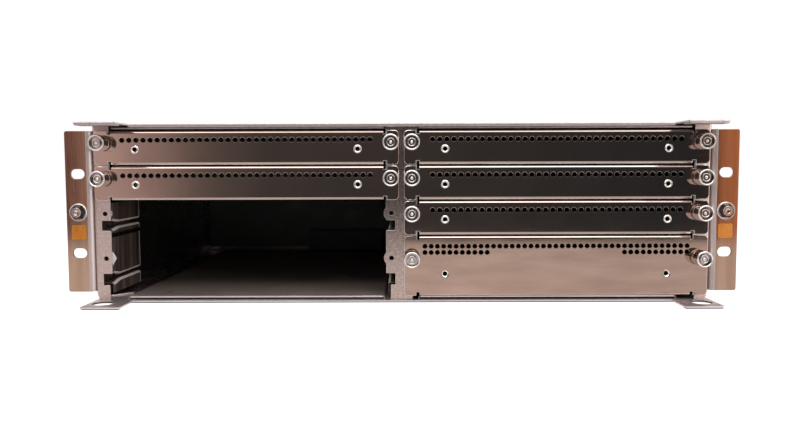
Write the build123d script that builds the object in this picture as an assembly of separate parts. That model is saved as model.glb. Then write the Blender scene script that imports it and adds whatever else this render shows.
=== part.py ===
from build123d import *
import os

# Card cage for a 19-inch rack, three rack units tall, folded from plated sheet steel.
# Two columns of four card slots: three short slots and one tall slot in each column.
# Millimetres. X runs to the right, Y to the back and Z up. The origin is the centre of
# the four rack slots, on the rear face of the ears, which seats on the rails of a rack.

# Rack ears
rack_width = 482.6
slot_inset = 8.75
slot_rise = 57.15
slot_length = 10.2
slot_width = 7.0
ear_reach = 18.8
ear_head_gap = 4.95
ear_foot_gap = 7.55
ear_sheet = 2.0
ear_bend = 1.6
ear_leg = 60.0
ear_corner = 1.5

# Bonding jack in each ear
jack_lift = 1.0
jack_flange_radius = 6.0
jack_side_count = 10
jack_flange = 1.2
jack_hex = 8.6
jack_body = 3.4
jack_shank_radius = 3.4
jack_bore_radius = 2.05
jack_floor = 0.6

# Shell
body_height = 128.5
body_depth = 300.0
sheet = 1.2
bend = 0.8
front_lip = 3.0
hem_width = 10.0
tab_width = 27.5
tab_reach = 28.0
tab_corner = 1.5
tab_hem_inset = 2.0
tab_hole_radius = 7.2
tab_hole_inset = 10.5
tab_hole_reach = 13.5
post_width = 12.3
corner_length = 12.0
wall_flange = 18.0
wall_flange_cut = 13.0
post_foot_width = 2.5
post_foot_height = 7.0
key_slot_length = 6.0
key_slot_width = 3.0
key_slot_back = 19.0
key_slot_offset = 63.9

# Centre partition
centre_post_width = 22.4
divider_flange = 10.0

# Inner floor and ceiling of each column
liner_setback = 1.8
floor_lift = 1.2
floor_side_gap = 4.5

# Card slots, from the top down
slot_pitch = 25.4
tall_slot_least = 40.0
left_blanks = 2
head_gap = 3.3
foot_gap = 2.3
panel_gap = 0.8

# Blank panels
panel_sheet = 1.2
panel_flange = 12.0
panel_corner = 2.0
centre_gap = 1.9
side_gap = 1.7
flange_clearance = 0.9
relief_width = 1.6
relief_depth = 2.2
vent_width = 3.3
vent_pitch = 5.08
vent_drop = 6.6
vent_margin = 9.5
tall_vent_width = 3.1
tall_vent_pitch = 4.5
tall_vent_drop = 7.3
tall_vent_margin = 3.9
tall_vent_end_count = 11
nut_span = 160.0
nut_drop = 13.4
tall_nut_drop = 27.5
nut_bore_radius = 1.7

# Captive panel screws
screw_centre_inset = 5.5
screw_wall_inset = 6.4
screw_drop = 8.8
tall_screw_drop = 16.0
knob_radius = 5.5
knob_side_count = 8
knob_length = 11.5
knob_wall = 1.3
knob_floor = 4.5
screw_head_radius = 3.5
screw_side_count = 6
screw_head = 5.6
screw_pin_width = 2.5
screw_end = 4.0
fit = 0.1

# Card guides
guide_sheet = 0.8
guide_setback = 6.5
guide_length = 52.0
guide_mouth_length = 14.0
guide_depth = 9.3
guide_channel = 3.0
guide_drop = 17.5
tall_guide_drop = 31.3
guide_gap = 3.4
notch_width = 6.6
notch_height = 7.4
tall_notch_height = 8.4
wall_foot_step = 1.9
centre_foot_step = 3.3

# Backplane and rear wall
backplane_gap = 12.0
backplane_sheet = 3.2
backplane_margin_x = 5.0
backplane_margin_z = 6.5
connector_width = 84.0
connector_height = 11.0
tall_connector_height = 23.0
connector_depth = 11.5
connector_base = 3.0
connector_step = 1.2
connector_inset = 20.45
standoff_radius = 3.5
standoff_inset_x = 17.5
standoff_inset_z = 10.55
rear_slot_length = 40.0
rear_slot_height = 6.0
rear_slot_pitch = 48.0
rear_slot_margin = 22.0

# Heights and widths that follow from the sizes above
body_width = rack_width - 2 * ear_reach
half_width = body_width / 2
half_height = body_height / 2
slot_x = rack_width / 2 - slot_inset
floor_z = sheet - half_height
ceiling_z = half_height - sheet
hem_z = ceiling_z - sheet
stack_top = ceiling_z - head_gap
stack_height = ceiling_z - floor_z - head_gap - foot_gap
short_slots = int((stack_height - tall_slot_least) / slot_pitch)
tall_pitch = stack_height - short_slots * slot_pitch
panel_length = half_width - centre_gap - side_gap
column_x = centre_gap + panel_length / 2
centre_screw_x = centre_gap + screw_centre_inset
wall_screw_x = half_width - side_gap - screw_wall_inset
flange_start = centre_post_width / 2 + flange_clearance
flange_end = half_width - post_width - flange_clearance
panel_face = -panel_sheet
rear_face = body_depth - sheet
backplane_back = rear_face - backplane_gap
backplane_face = backplane_back - backplane_sheet
backplane_width = body_width - 2 * backplane_margin_x
backplane_height = ceiling_z - floor_z - 2 * backplane_margin_z


class CardSlot:
    """Heights of one card slot: its pitch lines, panel edges, screw, channel and notch."""

    def __init__(self, row):
        self.tall = row == short_slots
        self.top = stack_top - row * slot_pitch
        self.bottom = self.top - (tall_pitch if self.tall else slot_pitch)
        self.panel_top = self.top - panel_gap / 2
        self.panel_bottom = self.bottom + panel_gap / 2
        self.screw = self.panel_top - (tall_screw_drop if self.tall else screw_drop)
        self.channel = self.panel_top - (tall_guide_drop if self.tall else guide_drop)
        self.notch = tall_notch_height if self.tall else notch_height
        self.vents = self.panel_top - (tall_vent_drop if self.tall else vent_drop)
        self.nuts = self.panel_top - (tall_nut_drop if self.tall else nut_drop)
        self.connector = tall_connector_height if self.tall else connector_height


rows = [CardSlot(row) for row in range(short_slots + 1)]
tall_row = rows[-1]


def block(x, y, z):
    """Box between two values along each axis."""
    centre = Pos(sum(x) / 2, sum(y) / 2, sum(z) / 2)
    return centre * Box(abs(x[1] - x[0]), abs(y[1] - y[0]), abs(z[1] - z[0]))


def along_x(face, start, end):
    """Section drawn in Y and Z, carried along X."""
    return extrude(Pos(start, 0, 0) * (Plane.YZ * face), end - start, dir=(1, 0, 0))


def along_y(face, start, end):
    """Section drawn in X and Z, carried along Y."""
    return extrude(Pos(0, start, 0) * (Plane.XZ * face), end - start, dir=(0, 1, 0))


def along_z(face, start, end):
    """Section drawn in X and Y, carried along Z."""
    return extrude(Pos(0, 0, start) * face, end - start, dir=(0, 0, 1))


def folded(points, thickness, inside_radius, side):
    """Section of a folded sheet; the points lie on its outside, the metal on the given side."""
    rounded = FilletPolyline(*points, radius=inside_radius + thickness)
    line = [rounded @ 0]
    for edge in rounded.wire().order_edges():
        if edge.geom_type == GeomType.CIRCLE:
            line.append(edge @ 0.5)
        line.append(edge @ 1)
    outside = Polyline(*line)
    return Face(outside.wire().offset_2d(thickness, kind=Kind.INTERSECTION, side=side, closed=True))


def hexagon(radius):
    """Hexagon whose flats lie at the given radius."""
    return RegularPolygon(radius, 6, major_radius=False)


def thread_hole():
    """Clearance hole of a captive screw's pin; pin and hole are drawn square."""
    return Rectangle(screw_pin_width + 2 * fit, screw_pin_width + 2 * fit)


def save(name, *shapes):
    """One STEP file for each named piece or group of like pieces."""
    shape = shapes[0] if len(shapes) == 1 else Compound(children=[s.solid() for s in shapes])
    export_step(shape, f"parts/{name}.step")


def save_pair(name, shape):
    """The right piece as drawn, and its mirror image on the left."""
    save(f"right_{name}", shape)
    save(f"left_{name}", mirror(shape, Plane.YZ))


def plate_outline():
    """Flat outline of the top and base plates, with a tab at each front corner."""
    outline = Pos(0, (body_depth - front_lip) / 2) * Rectangle(body_width, body_depth + front_lip)
    tab_x = half_width - tab_width / 2
    for x in (-tab_x, tab_x):
        outline += Pos(x, -tab_reach / 2) * Rectangle(tab_width, tab_reach)
    ends = outline.vertices().filter_by_position(Axis.Y, -tab_reach, -tab_reach)
    return chamfer(ends, tab_corner)


def base_plate():
    """Flat floor with a hole in each tab and a keying slot in each column."""
    outline = plate_outline()
    hole_x = half_width - tab_hole_inset
    for x in (-hole_x, hole_x):
        outline -= Pos(x, -tab_hole_reach) * Circle(tab_hole_radius)
    for x in (-column_x - key_slot_offset, column_x - key_slot_offset):
        outline -= Pos(x, key_slot_back) * Rectangle(key_slot_length, key_slot_width)
    return along_z(outline, -half_height, floor_z)


def hem():
    """Front edge of the top plate between the tabs, folded back flat under itself."""
    nose_y = sheet - front_lip
    nose = Pos(nose_y, ceiling_z) * RegularPolygon(sheet, 8)
    layers = Pos(nose_y + hem_width / 2, ceiling_z) * Rectangle(hem_width, 2 * sheet)
    middle = half_width - tab_width
    return along_x(nose + layers, -middle, middle)


def top_cover():
    """Top plate, hemmed along its front edge and under the ends of its tabs."""
    middle = half_width - tab_width
    plate = along_z(plate_outline(), ceiling_z, half_height)
    plate -= block((-middle, middle), (-front_lip, sheet - front_lip), (ceiling_z, half_height))
    lap_half = tab_width / 2 - tab_hem_inset
    lap = block((-lap_half, lap_half), (-tab_reach, hem_width - tab_reach), (hem_z, ceiling_z))
    tab_x = half_width - tab_width / 2
    for x in (-tab_x, tab_x):
        plate += Pos(x, 0, 0) * lap
    return plate + hem()


def post_cuts(edge, inward, screw_x, foot_step):
    """Notches for the guides, the step at the foot and the thread holes of one post edge."""
    cuts = [Pos(screw_x, row.screw) * thread_hole() for row in rows]
    for row in rows:
        notch = Rectangle(notch_width, row.notch)
        cuts.append(Pos(edge - inward * notch_width / 2, row.channel) * notch)
    step = Rectangle(foot_step, tall_row.channel - floor_z)
    cuts.append(Pos(edge - inward * foot_step / 2, (tall_row.channel + floor_z) / 2) * step)
    return Sketch() + cuts


def side_wall():
    """Right wall: a folded sheet with a post in front and flanges behind, above and below."""
    edge = half_width - post_width
    front = folded([(edge, 0), (half_width, 0), (half_width, corner_length)],
                   sheet, bend, Side.LEFT)
    wall = along_z(front, floor_z, ceiling_z)
    back = folded([(half_width, rear_face - corner_length), (half_width, rear_face),
                   (edge, rear_face)], sheet, bend, Side.LEFT)
    wall += along_z(back, floor_z, ceiling_z)
    inner = half_width - wall_flange
    middle = folded([(inner, floor_z), (half_width, floor_z), (half_width, ceiling_z),
                     (inner, ceiling_z)], sheet, bend, Side.LEFT)
    wall += along_y(middle, corner_length, rear_face - corner_length)
    corner = Polygon((inner, corner_length), (inner + wall_flange_cut, corner_length),
                     (inner, corner_length + wall_flange_cut), align=None)
    wall -= along_z(corner, floor_z, ceiling_z)
    wall -= along_y(post_cuts(edge, -1, wall_screw_x, wall_foot_step), 0, sheet)
    foot = Polygon((half_width, floor_z), (half_width - post_foot_width, floor_z),
                   (half_width, floor_z + post_foot_height), align=None)
    return wall - along_y(foot, 0, corner_length)


def centre_post():
    """Front strip between the two columns, notched on both edges."""
    edge = centre_post_width / 2
    strip = Pos(0, (floor_z + hem_z) / 2) * Rectangle(centre_post_width, hem_z - floor_z)
    for way in (-1, 1):
        strip -= post_cuts(way * edge, way, way * centre_screw_x, centre_foot_step)
    return along_y(strip, 0, sheet)


def centre_divider():
    """Wall between the columns, from the centre post to the backplane."""
    face = sheet / 2
    end = backplane_face - fit
    section = folded([(divider_flange, ceiling_z), (-face, ceiling_z), (-face, floor_z),
                      (divider_flange, floor_z)], sheet, bend, Side.LEFT)
    wall = along_y(section, corner_length, end)
    return wall + block((-face, face), (sheet, corner_length), (floor_z, hem_z))


def floor_liner(column):
    """Raised inner floor of one column, standing on two folded legs, with the keying slot."""
    start = flange_start
    end = half_width - wall_flange - floor_side_gap
    top = floor_z + floor_lift + sheet
    under = floor_z + floor_lift
    section = Polygon((start, floor_z), (start, top), (end, top), (end, floor_z),
                      (end - sheet, floor_z), (end - sheet, under), (start + sheet, under),
                      (start + sheet, floor_z), align=None)
    liner = along_y(section, liner_setback, backplane_face - fit)
    if column < 0:
        liner = mirror(liner, Plane.YZ)
    key_x = column * column_x - key_slot_offset
    key = Pos(key_x, key_slot_back) * Rectangle(key_slot_length, key_slot_width)
    return liner - along_z(key, under, top)


def ceiling_liner():
    """Inner ceiling of the right column, under the hem and the flange of the wall."""
    return block((flange_start, flange_end), (liner_setback, backplane_face - fit),
                 (hem_z - sheet, hem_z))


def rear_wall():
    """Flat rear closure with a row of air slots behind each column."""
    outline = Rectangle(body_width, ceiling_z - floor_z)
    room = half_width - 2 * rear_slot_margin
    count = int((room - rear_slot_length) / rear_slot_pitch) + 1
    slots = GridLocations(rear_slot_pitch, 0, count, 1)
    for x in (-half_width / 2, half_width / 2):
        outline -= Pos(x, 0) * slots * Rectangle(rear_slot_length, rear_slot_height)
    return along_y(outline, rear_face, body_depth)


def rack_ear():
    """Right ear: an angle whose short leg lies along the side wall."""
    section = folded([(rack_width / 2, -ear_sheet), (half_width, -ear_sheet),
                      (half_width, ear_leg)], ear_sheet, ear_bend, Side.RIGHT)
    ear = along_z(section, ear_foot_gap - half_height, half_height - ear_head_gap)
    outer = ear.edges().filter_by(Axis.Y).group_by(Axis.X)[-1]
    ear = chamfer(outer, ear_corner)
    for z in (-slot_rise / 2, slot_rise / 2):
        slot = Pos(slot_x, z) * SlotOverall(slot_length, slot_width)
        ear -= along_y(slot, -ear_sheet, 0)
    jack_hole = Pos(slot_x, jack_lift) * hexagon(jack_shank_radius)
    return ear - along_y(jack_hole, -ear_sheet, 0)


def bonding_jack():
    """Press-in socket of the right ear: shank, flange, hexagon body and blind bore."""
    flange_face = -ear_sheet - jack_flange
    front = flange_face - jack_body
    jack = along_y(hexagon(jack_shank_radius), -ear_sheet, 0)
    jack += along_y(RegularPolygon(jack_flange_radius, jack_side_count), flange_face, -ear_sheet)
    jack += along_y(hexagon(jack_hex / 2), front, flange_face)
    jack -= along_y(RegularPolygon(jack_bore_radius, jack_side_count), front, -jack_floor)
    return Pos(slot_x, 0, jack_lift) * jack


def vent_row(count, pitch, width, x, z):
    """One row of punched vents, drawn square with the open area of a round punch."""
    places = GridLocations(pitch, 0, count, 1)
    return Sketch() + Pos(x, z) * places * Rectangle(width, width)


def vent_count(pitch, margin):
    """How many vents fit between the ends of a panel's flanges."""
    return int((flange_end - flange_start - 2 * margin) / pitch) + 1


def panel_vents(row):
    """Vent rows of a panel; a tall panel has a second row at both ends."""
    if not row.tall:
        count = vent_count(vent_pitch, vent_margin)
        return vent_row(count, vent_pitch, vent_width, column_x, row.vents)
    pitch = tall_vent_pitch
    count = vent_count(pitch, tall_vent_margin)
    vents = vent_row(count, pitch, tall_vent_width, column_x, row.vents)
    shift = (count - tall_vent_end_count) * pitch / 2
    for x in (column_x - shift, column_x + shift):
        vents += vent_row(tall_vent_end_count, pitch, tall_vent_width, x, row.vents - pitch)
    return vents


def nut_places(row):
    """Where the two nut holes of a right-hand panel sit."""
    return [(column_x - nut_span / 2, row.nuts), (column_x + nut_span / 2, row.nuts)]


def screw_places(row):
    """Where the two captive screws of a right-hand panel sit."""
    return [(centre_screw_x, row.screw), (wall_screw_x, row.screw)]


def blank_panel(row):
    """Right-hand blank: a face with rounded ends and a flange folded back along each long edge."""
    middle_z = (row.panel_top + row.panel_bottom) / 2
    height = row.panel_top - row.panel_bottom
    face = Rectangle(panel_length, height)
    flat = Pos(column_x, middle_z) * chamfer(face.vertices(), panel_corner)
    run = flange_end - flange_start
    strip = Rectangle(run + 2 * relief_width, relief_depth)
    for z in (row.panel_top - relief_depth / 2, row.panel_bottom + relief_depth / 2):
        flat -= Pos((flange_start + flange_end) / 2, z) * strip
    panel = along_y(flat, panel_face, 0)
    flange_back = panel_face + panel_flange
    channel = folded([(flange_back, row.panel_top), (panel_face, row.panel_top),
                      (panel_face, row.panel_bottom), (flange_back, row.panel_bottom)],
                     panel_sheet, bend, Side.LEFT)
    panel += along_x(channel, flange_start, flange_end)
    holes = panel_vents(row)
    holes += [Pos(*place) * hexagon(nut_bore_radius) for place in nut_places(row)]
    holes += [Pos(*place) * thread_hole() for place in screw_places(row)]
    return panel - along_y(holes, panel_face, 0)


knob_front = panel_face - knob_length
knob_seat = panel_face - knob_floor


def knob():
    """Cup-shaped finger knob round the head of a captive screw."""
    outer = RegularPolygon(knob_radius, knob_side_count)
    inner = RegularPolygon(knob_radius - knob_wall, knob_side_count)
    cup = along_y(outer, knob_front, panel_face) - along_y(inner, knob_front, knob_seat)
    return cup - along_y(thread_hole(), knob_seat, panel_face)


def captive_screw():
    """Screw of a knob: head on the floor of the cup, pin through panel and post to the thread."""
    head = along_y(RegularPolygon(screw_head_radius, screw_side_count), knob_seat - screw_head,
                   knob_seat)
    tip = sheet + screw_end
    return head + along_y(Rectangle(screw_pin_width, screw_pin_width), knob_seat, tip)


def guide_section(row, channel):
    """Hat section of a guide, with its channel opening towards smaller X."""
    half = channel / 2
    metal = half + guide_sheet
    top = row.top - guide_gap / 2 - row.channel
    bottom = row.bottom + guide_gap / 2 - row.channel
    lip = -guide_depth
    inner = lip + guide_sheet
    face = Polygon((lip, top), (lip, half), (-guide_sheet, half), (-guide_sheet, -half),
                   (lip, -half), (lip, bottom), (inner, bottom), (inner, -metal), (0, -metal),
                   (0, metal), (inner, metal), (inner, top), align=None)
    return Pos(0, 0, row.channel) * (Plane.XZ * face)


def card_guide(row):
    """Folded guide with a flared mouth, drawn with the back of its channel at X = 0."""
    mouth = Pos(0, guide_setback, 0) * guide_section(row, row.notch - 2 * guide_sheet)
    throat = Pos(0, guide_setback + guide_mouth_length, 0) * guide_section(row, guide_channel)
    end = Pos(0, guide_setback + guide_length, 0) * guide_section(row, guide_channel)
    return loft([mouth, throat], ruled=True) + loft([throat, end], ruled=True)


def backplane():
    """Printed board across both columns, carried by its standoffs."""
    return along_y(Rectangle(backplane_width, backplane_height), backplane_face, backplane_back)


def standoffs():
    """Pillars between the backplane and the rear wall."""
    span = backplane_width - 2 * standoff_inset_x
    rise = backplane_height - 2 * standoff_inset_z
    places = GridLocations(span / 2, rise, 3, 2)
    pillar = along_y(hexagon(standoff_radius), backplane_back, rear_face)
    return [Pos(place.position.X, 0, place.position.Y) * pillar for place in places]


def connector(row):
    """Socket block of one slot on its base flange, drawn about X = 0."""
    front = backplane_face - connector_depth
    step = backplane_face - connector_base
    nose = Rectangle(connector_width - 2 * connector_step, row.connector - 2 * connector_step)
    block_base = along_y(Rectangle(connector_width, row.connector), step, backplane_face)
    return Pos(0, 0, row.channel) * (block_base + along_y(nose, front, step))


os.makedirs("parts", exist_ok=True)

save("base_plate", base_plate())
save("top_cover", top_cover())
save_pair("side_wall", side_wall())
save("centre_post", centre_post())
save("centre_divider", centre_divider())
save("right_floor_liner", floor_liner(1))
save("left_floor_liner", floor_liner(-1))
save_pair("ceiling_liner", ceiling_liner())
save("rear_wall", rear_wall())
save_pair("rack_ear", rack_ear())
save_pair("bonding_jack", bonding_jack())

save("backplane", backplane())
save("backplane_standoffs", *standoffs())

knobs = []
screws = []
for number, row in enumerate(rows, start=1):
    guide = card_guide(row)
    wall_guide = Pos(half_width - sheet, 0, 0) * guide
    centre_guide = Pos(sheet / 2, 0, 0) * mirror(guide, Plane.YZ)
    save_pair(f"wall_guide_{number}", wall_guide)
    save_pair(f"centre_guide_{number}", centre_guide)

    socket = connector(row)
    socket_shift = panel_length / 2 - connector_inset - connector_width / 2
    save(f"right_connector_{number}", Pos(column_x + socket_shift, 0, 0) * socket)
    save(f"left_connector_{number}", Pos(socket_shift - column_x, 0, 0) * socket)

    panel = blank_panel(row)
    sides = [1] if number > left_blanks else [1, -1]
    save(f"right_panel_{number}", panel)
    if -1 in sides:
        save(f"left_panel_{number}", mirror(panel, Plane.YZ))
    for side in sides:
        for x, z in screw_places(row):
            knobs.append(Pos(side * x, 0, z) * knob())
            screws.append(Pos(side * x, 0, z) * captive_screw())

save("screw_knobs", *knobs)
save("captive_screws", *screws)
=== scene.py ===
import math

import bmesh
import bpy
from mathutils import Matrix, Vector, geometry

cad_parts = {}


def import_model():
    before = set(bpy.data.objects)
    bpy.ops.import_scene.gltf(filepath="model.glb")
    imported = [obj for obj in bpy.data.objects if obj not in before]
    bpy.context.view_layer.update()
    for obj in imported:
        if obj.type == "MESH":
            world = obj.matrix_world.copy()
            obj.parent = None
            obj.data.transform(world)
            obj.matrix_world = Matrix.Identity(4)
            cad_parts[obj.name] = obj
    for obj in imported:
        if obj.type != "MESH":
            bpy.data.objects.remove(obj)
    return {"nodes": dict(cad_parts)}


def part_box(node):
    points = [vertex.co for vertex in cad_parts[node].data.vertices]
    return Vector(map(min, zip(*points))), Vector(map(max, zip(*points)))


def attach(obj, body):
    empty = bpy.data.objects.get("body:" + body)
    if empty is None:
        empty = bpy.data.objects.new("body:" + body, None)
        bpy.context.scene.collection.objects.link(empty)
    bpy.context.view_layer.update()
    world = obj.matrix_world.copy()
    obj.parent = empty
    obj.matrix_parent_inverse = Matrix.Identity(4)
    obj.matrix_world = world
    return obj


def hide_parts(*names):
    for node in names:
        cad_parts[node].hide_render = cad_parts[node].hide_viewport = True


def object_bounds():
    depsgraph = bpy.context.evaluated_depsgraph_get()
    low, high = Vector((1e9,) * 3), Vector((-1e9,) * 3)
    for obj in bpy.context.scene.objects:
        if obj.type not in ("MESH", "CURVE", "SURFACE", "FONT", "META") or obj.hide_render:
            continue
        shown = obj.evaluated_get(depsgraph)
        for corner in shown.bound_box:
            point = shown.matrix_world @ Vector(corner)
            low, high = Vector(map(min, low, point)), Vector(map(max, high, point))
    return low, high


# Looks of a card cage: sheet metal with rounded folds and punched holes, turned fasteners,
# finishes, light and camera. Sizes of the cage are in millimetres, those of the stage in metres.

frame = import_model()
cad_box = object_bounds()

MM = 0.001
SIDES = ((1, "right"), (-1, "left"))

# Where a face looks: number of the axis and way along it
FRONT = (1, -1)
BACK = (1, 1)
TOP = (2, 1)
UNDERSIDE = (2, -1)

# Fineness of the meshes
FOLD_STEPS = 8
CORNER_STEPS = 6
LOBE_STEPS = 12
HEM_STEPS = 4
MOUTH_STEPS = 8
HOLE_SIDES = 24
TURNED_SIDES = 48
NUT_SIDES = 32
RIVET_SIDES = 24
SHARP_ANGLE = math.radians(40)
SAME_PLACE = 1e-6
PARALLEL = 1e-4
WELD_METRES = 2e-6

# Sheet metal
SHEET = 1.2
FOLD = 2.0
EDGE = 0.14
RIM_ROUND = 0.3
BEVEL_BANDS = 2
PLATE_CORNER = 0.5

# Blank panels
SLOT_COUNT = 4
PANEL_CORNER = 3.0
FLANGE_START = 12.9
FLANGE_END = 208.5
RELIEF_WIDTH = 2.3
RELIEF_DEPTH = 2.6
TALL_LIMIT = 30.0
PANEL_EDGE = 0.3
FACE_FOLD_STEPS = 3
VENT_EDGE = 0.32
SHORT_VENTS = {"radius": 1.7, "pitch": 5.08, "drop": 6.6, "count": 36, "end_count": 0}
TALL_VENTS = {"radius": 1.6, "pitch": 4.5, "drop": 7.3, "count": 43, "end_count": 11}
NUT_OFFSET = 80.0
NUT_DROP = 13.4
TALL_NUT_DROP = 27.5
NUT_HOLE = 2.6

# Captive screws and card channels, below the top edge of their panel
CENTRE_SCREW_X = 7.4
WALL_SCREW_X = 214.4
SCREW_DROP = 8.8
TALL_SCREW_DROP = 16.0
CHANNEL_DROP = 17.5
TALL_CHANNEL_DROP = 31.3
THREAD_HOLE = 1.7

# Posts and side walls
NOTCH_WIDTH = 6.6
NOTCH_HEIGHT = 7.4
TALL_NOTCH_HEIGHT = 8.4
NOTCH_MOUTH = 0.5
NOTCH_CORNER = 0.4
POST_WIDTH = 12.3
POST_LOBE = 5.4
WALL_FOOT = 1.9
CENTRE_FOOT = 3.3
FOOT_CUT_WIDTH = 2.5
FOOT_CUT_HEIGHT = 7.0
CORNER_LENGTH = 12.0
FLANGE_WIDTH = 18.0
FLANGE_CUT = 13.0

# Card guides and liners
GUIDE_SHEET = 0.8
GUIDE_DEPTH = 9.3
GUIDE_MOUTH = 14.0
GUIDE_CHANNEL = 3.0
GUIDE_CORNER = 0.4
LIP_FOLD = 1.6
LINER_FOLD = 1.6

# Plates
TAB_WIDTH = 27.5
FRONT_LIP = 3.0
TAB_CORNER = 1.5
TAB_HOLE = 7.2
TAB_HOLE_INSET = 10.5
TAB_HOLE_REACH = 13.5
HEM_WIDTH = 10.0
HEM_NOSE = 0.5
HEM_GAP = 0.05
HEM_MITRE = 0.8
KEY_SLOT = (6.0, 3.0)
KEY_SLOT_BACK = 19.0
KEY_SLOT_OFFSET = 63.9
REAR_SLOT = (40.0, 6.0)
REAR_SLOT_PITCH = 48.0

# Ears
EAR_SHEET = 2.0
EAR_FOLD = 3.6
EAR_CORNER = 1.6
SLOT_X = 232.55
SLOT_RISE = 57.15
SLOT_LENGTH = 10.2
SLOT_WIDTH = 7.0
JACK_LIFT = 1.0
JACK_HOLE = 3.4
PATCH_SIZE = 10.5
PATCH_CORNER = 1.2
PATCH_Z = -13.5
PATCH_SHEET = 0.3

# Places of the shell's fasteners
EAR_SCREW_DEPTHS = (24.0, 46.0)
EAR_SCREW_RISE = 40.0
SEAM_INSET = 8.5
SEAM_DEPTHS = (50.0, 115.0, 180.0, 245.0)
REAR_RIVET_INSET = 6.0
REAR_RIVET_RISE = 42.0

# Turned profiles: (radius, height) or (radius, height, flats), from the face that carries them
KNOB_COLLAR = [(0, 0), (5.3, 0), (5.3, 1.3)]
KNOB_EDGE = [(5.3, 1.3), (5.15, 1.6), (4.85, 1.75), (4.3, 1.75)]
KNOB_BODY = [(4.3, 1.75), (4.2, 2.6), (5.5, 2.6), (5.75, 2.85), (5.8, 10.7)]
KNOB_RIM = [(5.8, 10.7), (5.74, 11.1), (5.58, 11.38), (5.3, 11.5), (5.05, 11.5), (4.8, 11.38), (4.65, 11.1),
            (4.6, 10.7)]
KNOB_CUP = [(4.6, 10.7), (4.5, 8.2), (0, 8.2)]
HEAD_RING = [(0, 8.0), (3.1, 8.0), (3.1, 10.1), (3.03, 10.35), (2.85, 10.5), (2.6, 10.5), (2.4, 10.35),
             (2.3, 10.1)]
HEAD_DISH = [(2.3, 10.1), (2.15, 9.5), (1.2, 9.5)]
HEAD_TIP = [(1.2, 9.5), (1.15, 9.95), (0.95, 10.3), (0.55, 10.5), (0, 10.55)]
PRESS_NUT = [(1.6, -3.6), (2.6, -3.6), (2.6, -1.2), (3.0, -1.2), (3.0, 0.05), (2.85, 0.3), (2.6, 0.47),
             (2.35, 0.5), (2.05, 0.42), (1.75, 0.2), (1.6, -0.1), (1.6, -3.6)]
FLUSH_NUT = [(1.6, -3.6), (2.6, -3.6), (2.6, -0.14), (2.5, -0.02), (2.35, -0.05), (1.75, -0.75), (1.6, -1.0),
             (1.6, -3.6)]
JACK_FLANGE = [(3.35, -2.0), (3.35, 0), (6.0, 0), (6.35, 0.2), (6.45, 0.6), (6.3, 1.0), (5.95, 1.25),
               (5.6, 1.2), (5.3, 0.95), (5.1, 0.5), (0, 0.5)]
JACK_HEX = [(0, 0.5), (4.5, 0.5, 6), (4.5, 2.6, 6), (4.3, 2.9, 6), (3.55, 3.9)]
JACK_FACE = [(3.55, 3.9), (3.5, 4.4), (3.3, 4.6), (2.75, 4.6), (2.65, 4.45), (2.5, 4.45), (2.4, 4.6),
             (2.2, 4.6), (2.05, 4.4), (2.0, 2.4), (1.0, 2.2), (0, 2.2)]
WALL_NUT = [(1.75, 0), (6.0, 0, 6), (6.1, 0.1, 6), (6.1, 1.7, 6), (5.8, 2.0), (2.8, 2.0), (2.5, 3.2),
            (1.75, 3.2), (1.75, 0)]
CENTRE_NUT = [(1.75, 0), (4.5, 0), (4.6, 0.1), (4.6, 1.7), (4.3, 2.0), (2.8, 2.0), (2.5, 3.2), (1.75, 3.2),
              (1.75, 0)]
RIVET = [(0, -0.2), (2.5, -0.2), (2.5, 0.1), (2.35, 0.4), (1.9, 0.65), (1.2, 0.78), (0, 0.8)]
FLUSH_RIVET = [(0, -0.2), (2.6, -0.2), (2.6, 0.1), (2.4, 0.2), (0.9, 0.2), (0.8, 0.1), (0, 0.05)]
EAR_SCREW = [(0, -0.2), (3.9, -0.2), (3.9, 1.2), (3.7, 1.6), (3.1, 1.9), (2.0, 2.0), (1.4, 2.0, 6),
             (1.35, 0.9, 6), (0, 0.8)]

# Grain and blotches of the finishes, as scales of noise along X, Y and Z
LENGTHWISE = (40, 900, 900)
UPRIGHT = (900, 900, 40)
ALL_WAYS = (600, 600, 600)
TURNED_GRAIN = (300, 300, 300)
BROAD = (25, 25, 25)
SPECKLE = (350, 350, 350)
SPANGLE = (520, 520, 520)
TALL_STREAKS = (16, 16, 80)
EAR_STREAKS = (260, 260, 7)
GUIDE_STREAKS = (200, 200, 9)

# Fineness, spread and depth of that noise
NOISE_ROUGHNESS = 0.55
GRAIN_ROUGHNESS = 0.7
CLOUD_DETAIL = 4.0
GRAIN_DETAIL = 5.0
SMUDGE_DETAIL = 3.0
SMUDGE_SCALE = 18.0
SMUDGE_SHARE = 0.4
CLOUD_STOPS = (0.3, 0.7)
GRAIN_STOPS = (0.25 + SMUDGE_SHARE / 2, 0.75 + SMUDGE_SHARE / 2)
METAL_RELIEF_METRES = 0.0002
PLASTIC_RELIEF_METRES = 0.0001

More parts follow.
